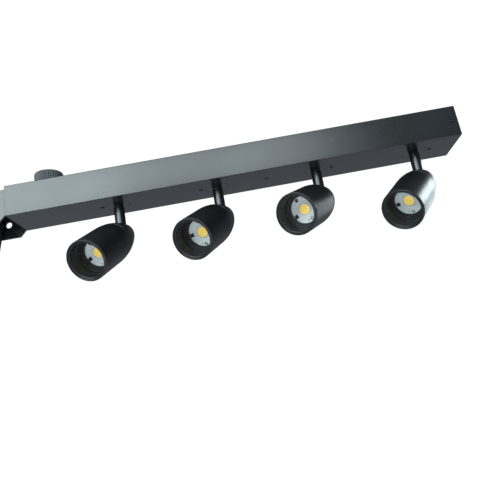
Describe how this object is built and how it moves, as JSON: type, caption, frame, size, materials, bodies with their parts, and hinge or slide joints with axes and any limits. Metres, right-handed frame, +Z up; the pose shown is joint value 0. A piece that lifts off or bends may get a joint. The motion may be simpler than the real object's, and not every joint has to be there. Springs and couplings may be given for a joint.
{
  "type": "track lighting fixture",
  "caption": "Straight light bar with bullet-shaped spot heads that turn and tilt on short stems, a knurled clamp knob and a forked mounting hub at one end.",
  "frame": {"origin": "centre of the mounting bore nearer to the bar, midway between the hub's two cheeks", "axes": "+X along the bar away from the hub, +Y to the rear, +Z up; the heads face -Y"},
  "size_m": [0.7, 0.1245, 0.1793],
  "materials": {
    "black_anodised": "satin anodised",
    "black_cover": "satin powder coat",
    "dark_screw": "blackened",
    "zinc_steel": "zinc plated",
    "white_plastic": "matt",
    "cable_sheath": "matt",
    "knob_plastic": "satin moulded",
    "lever_black": "satin powder coat",
    "stem_black": "semi-gloss",
    "barrel_black": "satin powder coat",
    "raw_aluminium": "machined",
    "led_phosphor": "soft silicone",
    "baffle_black": "matt"
  },
  "bodies": {
    "bar": {"channel_body": "black_anodised", "bottom_cover": "black_cover", "end_cap": "black_anodised", "end_cap_screws": "dark_screw", "cover_screws": "dark_screw", "swivel_discs": "black_cover", "led_driver": "white_plastic", "inner_screws": "zinc_steel", "terminal_block": "white_plastic", "bar_wiring": "cable_sheath", "hub_bracket": "black_anodised", "clamp_plate": "zinc_steel", "lever_pin": "zinc_steel", "lever_washers": "zinc_steel"},
    "knob": {"clamp_knob": "knob_plastic"},
    "lever": {"hub_lever": "lever_black"},
    "swivel_1": {"stem_1": "stem_black", "nipple_1": "stem_black", "nipple_nut_1": "zinc_steel", "lead_1": "cable_sheath"},
    "head_1": {"barrel_1": "barrel_black", "rear_cap_1": "barrel_black", "heat_sink_1": "raw_aluminium", "led_holder_1": "white_plastic", "led_chip_1": "led_phosphor", "baffle_1": "baffle_black", "pivot_pin_1": "zinc_steel"},
    "swivel_2": {"stem_2": "stem_black", "nipple_2": "stem_black", "nipple_nut_2": "zinc_steel", "lead_2": "cable_sheath"},
    "head_2": {"barrel_2": "barrel_black", "rear_cap_2": "barrel_black", "heat_sink_2": "raw_aluminium", "led_holder_2": "white_plastic", "led_chip_2": "led_phosphor", "baffle_2": "baffle_black", "pivot_pin_2": "zinc_steel"},
    "swivel_3": {"stem_3": "stem_black", "nipple_3": "stem_black", "nipple_nut_3": "zinc_steel", "lead_3": "cable_sheath"},
    "head_3": {"barrel_3": "barrel_black", "rear_cap_3": "barrel_black", "heat_sink_3": "raw_aluminium", "led_holder_3": "white_plastic", "led_chip_3": "led_phosphor", "baffle_3": "baffle_black", "pivot_pin_3": "zinc_steel"},
    "swivel_4": {"stem_4": "stem_black", "nipple_4": "stem_black", "nipple_nut_4": "zinc_steel", "lead_4": "cable_sheath"},
    "head_4": {"barrel_4": "barrel_black", "rear_cap_4": "barrel_black", "heat_sink_4": "raw_aluminium", "led_holder_4": "white_plastic", "led_chip_4": "led_phosphor", "baffle_4": "baffle_black", "pivot_pin_4": "zinc_steel"}
  },
  "joints": [
    {"name": "knob_turn", "type": "hinge", "parent": "bar", "child": "knob", "pos_m": [0.073, 0, 0.03], "axis": [0, 0, 1], "range_deg": [0, 720]},
    {"name": "lever_swing", "type": "hinge", "parent": "bar", "child": "lever", "pos_m": [-0.025, 0.0244, -0.002], "axis": [0, 1, 0], "range_deg": [-40, 40]},
    {"name": "pan_1", "type": "hinge", "parent": "bar", "child": "swivel_1", "pos_m": [0.164, 0, -0.012], "axis": [0, 0, 1], "range_deg": [-220.5, 44.5]},
    {"name": "tilt_1", "type": "hinge", "parent": "swivel_1", "child": "head_1", "pos_m": [0.164, 0, -0.0552], "axis": [0.9426, -0.3338, 0], "range_deg": [-31.5, 58.5]},
    {"name": "pan_2", "type": "hinge", "parent": "bar", "child": "swivel_2", "pos_m": [0.299, 0, -0.012], "axis": [0, 0, 1], "range_deg": [-214, 51]},
    {"name": "tilt_2", "type": "hinge", "parent": "swivel_2", "child": "head_2", "pos_m": [0.299, 0, -0.0552], "axis": [0.8988, -0.4384, 0], "range_deg": [-29, 61]},
    {"name": "pan_3", "type": "hinge", "parent": "bar", "child": "swivel_3", "pos_m": [0.434, 0, -0.012], "axis": [0, 0, 1], "range_deg": [-208, 57]},
    {"name": "tilt_3", "type": "hinge", "parent": "swivel_3", "child": "head_3", "pos_m": [0.434, 0, -0.0552], "axis": [0.848, -0.5299, 0], "range_deg": [-23.5, 66.5]},
    {"name": "pan_4", "type": "hinge", "parent": "bar", "child": "swivel_4", "pos_m": [0.569, 0, -0.012], "axis": [0, 0, 1], "range_deg": [-198, 67]},
    {"name": "tilt_4", "type": "hinge", "parent": "swivel_4", "child": "head_4", "pos_m": [0.569, 0, -0.0552], "axis": [0.7431, -0.6691, 0], "range_deg": [-33, 57]}
  ]
}
